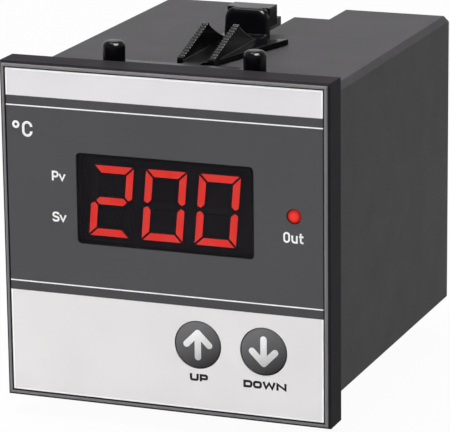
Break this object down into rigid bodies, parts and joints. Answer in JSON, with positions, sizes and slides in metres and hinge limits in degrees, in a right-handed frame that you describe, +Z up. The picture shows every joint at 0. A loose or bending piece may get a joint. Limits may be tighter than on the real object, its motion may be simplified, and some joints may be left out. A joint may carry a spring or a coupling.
{
  "type": "on-off temperature controller",
  "caption": "Square panel-mount on-off temperature controller with a red LED digit display, round keys, rear screw terminals and sliding panel clamps.",
  "frame": {"origin": "middle of the front frame's rear face, which rests on the panel", "axes": "+X to the right as the user sees the front, +Y into the panel and out of the rear face, +Z up"},
  "size_m": [0.072, 0.0864, 0.0798],
  "materials": {
    "case_grey": "fine spark-eroded grain",
    "frame_black": "fine grain",
    "printed_film": "matt screen print",
    "smoked_window": "polished",
    "module_black": "matt",
    "segment_lit": "lit light pipe",
    "segment_dark": "unlit light pipe",
    "led_red": "clear tinted resin",
    "key_grey": "matt print",
    "switch_black": "matt",
    "plunger_white": "matt",
    "board_green": "solder mask",
    "core_steel": "stacked sheet",
    "winding_copper": "lacquered wire",
    "relay_case": "smooth",
    "capacitor_can": "sleeved can",
    "terminal_black": "matt",
    "contact_brass": "tinned",
    "plated_steel": "bright plated",
    "clamp_black": "glossy as moulded"
  },
  "bodies": {
    "case": {"housing": "case_grey", "front_bezel": "frame_black", "front_label": "printed_film", "display_window": "smoked_window", "display_module": "module_black", "segments_lit": "segment_lit", "segments_dark": "segment_dark", "output_led": "led_red", "up_switch": "switch_black", "down_switch": "switch_black", "display_board": "board_green", "main_board": "board_green", "power_board": "board_green", "main_header": "switch_black", "power_header": "switch_black", "transformer_core": "core_steel", "transformer_winding": "winding_copper", "relay": "relay_case", "supply_capacitor": "capacitor_can", "microcontroller": "switch_black", "upper_terminal_block": "terminal_black", "lower_terminal_block": "terminal_black", "terminal_contacts": "contact_brass", "terminal_washers": "plated_steel", "terminal_screws": "plated_steel"},
    "up_key": {"up_button": "key_grey", "up_plunger": "plunger_white"},
    "down_key": {"down_button": "key_grey", "down_plunger": "plunger_white"},
    "upper_clamp": {"top_clamp": "clamp_black"},
    "lower_clamp": {"bottom_clamp": "clamp_black"}
  },
  "joints": [
    {"name": "up_press", "type": "slide", "parent": "case", "child": "up_key", "axis": [0, 1, 0], "range_m": [0, 0.0004], "stiffness_N_per_m": 1500},
    {"name": "down_press", "type": "slide", "parent": "case", "child": "down_key", "axis": [0, 1, 0], "range_m": [0, 0.0004], "stiffness_N_per_m": 1500},
    {"name": "upper_clamp_slide", "type": "slide", "parent": "case", "child": "upper_clamp", "axis": [0, 1, 0], "range_m": [-0.0028, 0.0553]},
    {"name": "lower_clamp_slide", "type": "slide", "parent": "case", "child": "lower_clamp", "axis": [0, 1, 0], "range_m": [-0.0168, 0.0413]}
  ]
}
